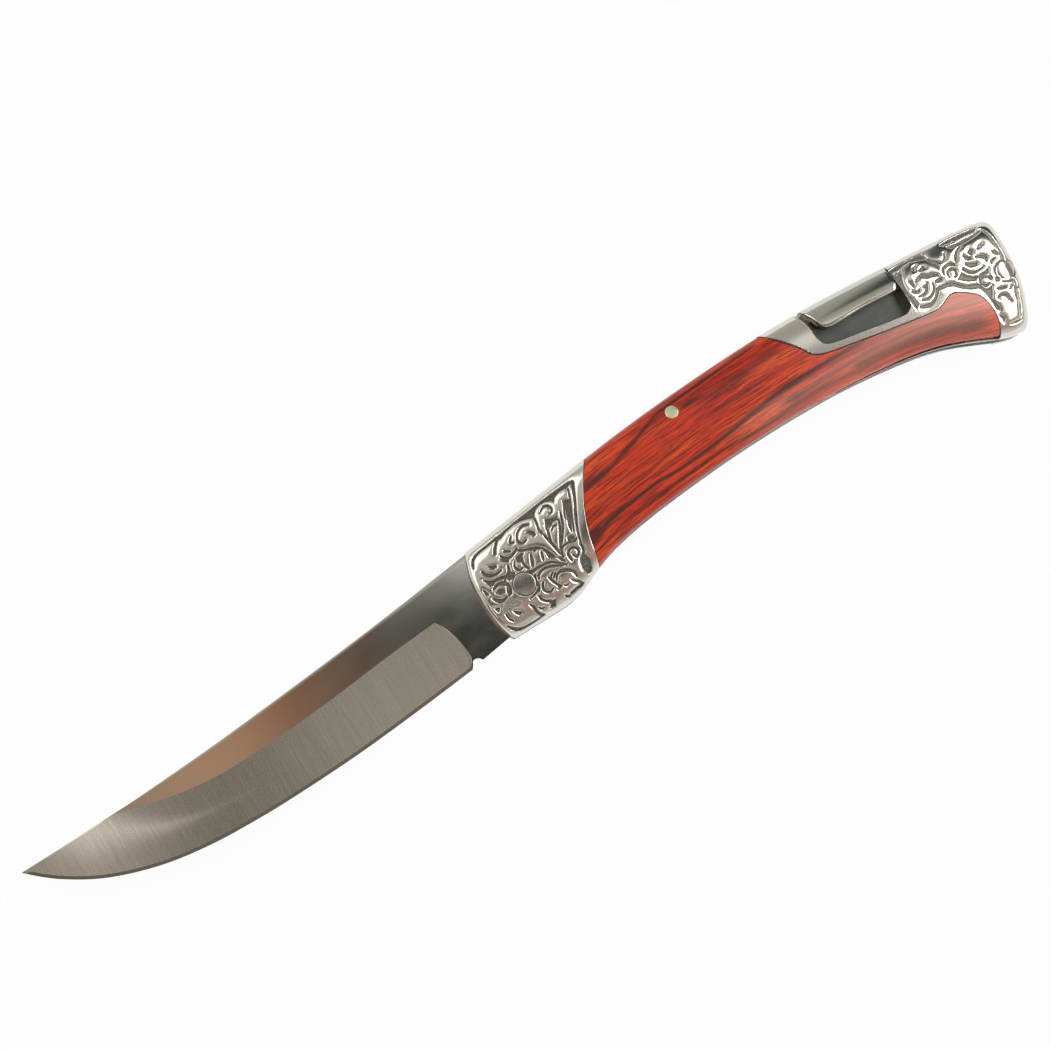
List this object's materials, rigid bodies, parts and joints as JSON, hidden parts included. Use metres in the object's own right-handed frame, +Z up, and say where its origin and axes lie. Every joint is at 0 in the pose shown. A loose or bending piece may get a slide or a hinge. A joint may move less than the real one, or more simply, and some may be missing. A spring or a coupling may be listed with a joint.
{
  "type": "folding pocket knife",
  "caption": "Lockback folding knife, open: long slim clip blade, engraved metal bolsters, curved red-brown wooden scales and a release button set into the back of the rear bolster.",
  "frame": {"origin": "middle of the open knife's footprint, on the surface that it lies on", "axes": "+X along the knife towards the handle's butt, +Y towards the back of the blade and handle, +Z up, out of the left side"},
  "size_m": [0.2328, 0.0306, 0.014],
  "materials": {
    "blade_steel": "satin ground bevel under a polished flat",
    "polished_steel": "polished, with darkened sunk engraving",
    "liner_steel": "brushed",
    "spring_steel": "ground, lightly oiled",
    "pin_metal": "polished nickel silver",
    "washer_bronze": "rolled",
    "dyed_wood": "red-brown laminated wood, polished and lacquered"
  },
  "bodies": {
    "handle": {"liner_left": "liner_steel", "liner_right": "liner_steel", "front_bolster_left": "polished_steel", "front_bolster_right": "polished_steel", "rear_bolster_left": "polished_steel", "rear_bolster_right": "polished_steel", "scale_left": "dyed_wood", "scale_right": "dyed_wood", "pivot_pin": "polished_steel", "lock_bar_pin": "pin_metal", "butt_pin": "polished_steel", "spring_pin": "pin_metal", "back_spacer": "polished_steel", "lock_spring": "spring_steel", "front_rivet_left": "pin_metal", "front_rivet_right": "pin_metal", "rear_rivet_left": "pin_metal", "rear_rivet_right": "pin_metal", "pivot_washer_left": "washer_bronze", "pivot_washer_right": "washer_bronze"},
    "blade": {"blade": "blade_steel"},
    "lock_bar": {"lock_bar": "spring_steel", "lock_button": "polished_steel", "button_rivet": "pin_metal"}
  },
  "joints": [
    {"name": "blade_fold", "type": "hinge", "parent": "handle", "child": "blade", "pos_m": [-0.00257, -0.00309, 0.007], "axis": [0, 0, 1], "range_deg": [0, 179.5]},
    {"name": "lock_press", "type": "hinge", "parent": "handle", "child": "lock_bar", "pos_m": [0.04043, 0.01101, 0.007], "axis": [0, 0, -1], "range_deg": [-1.6, 2.5], "stiffness_Nm_per_rad": 1, "springref_deg": -8.59, "deforming": ["lock_spring"]}
  ]
}
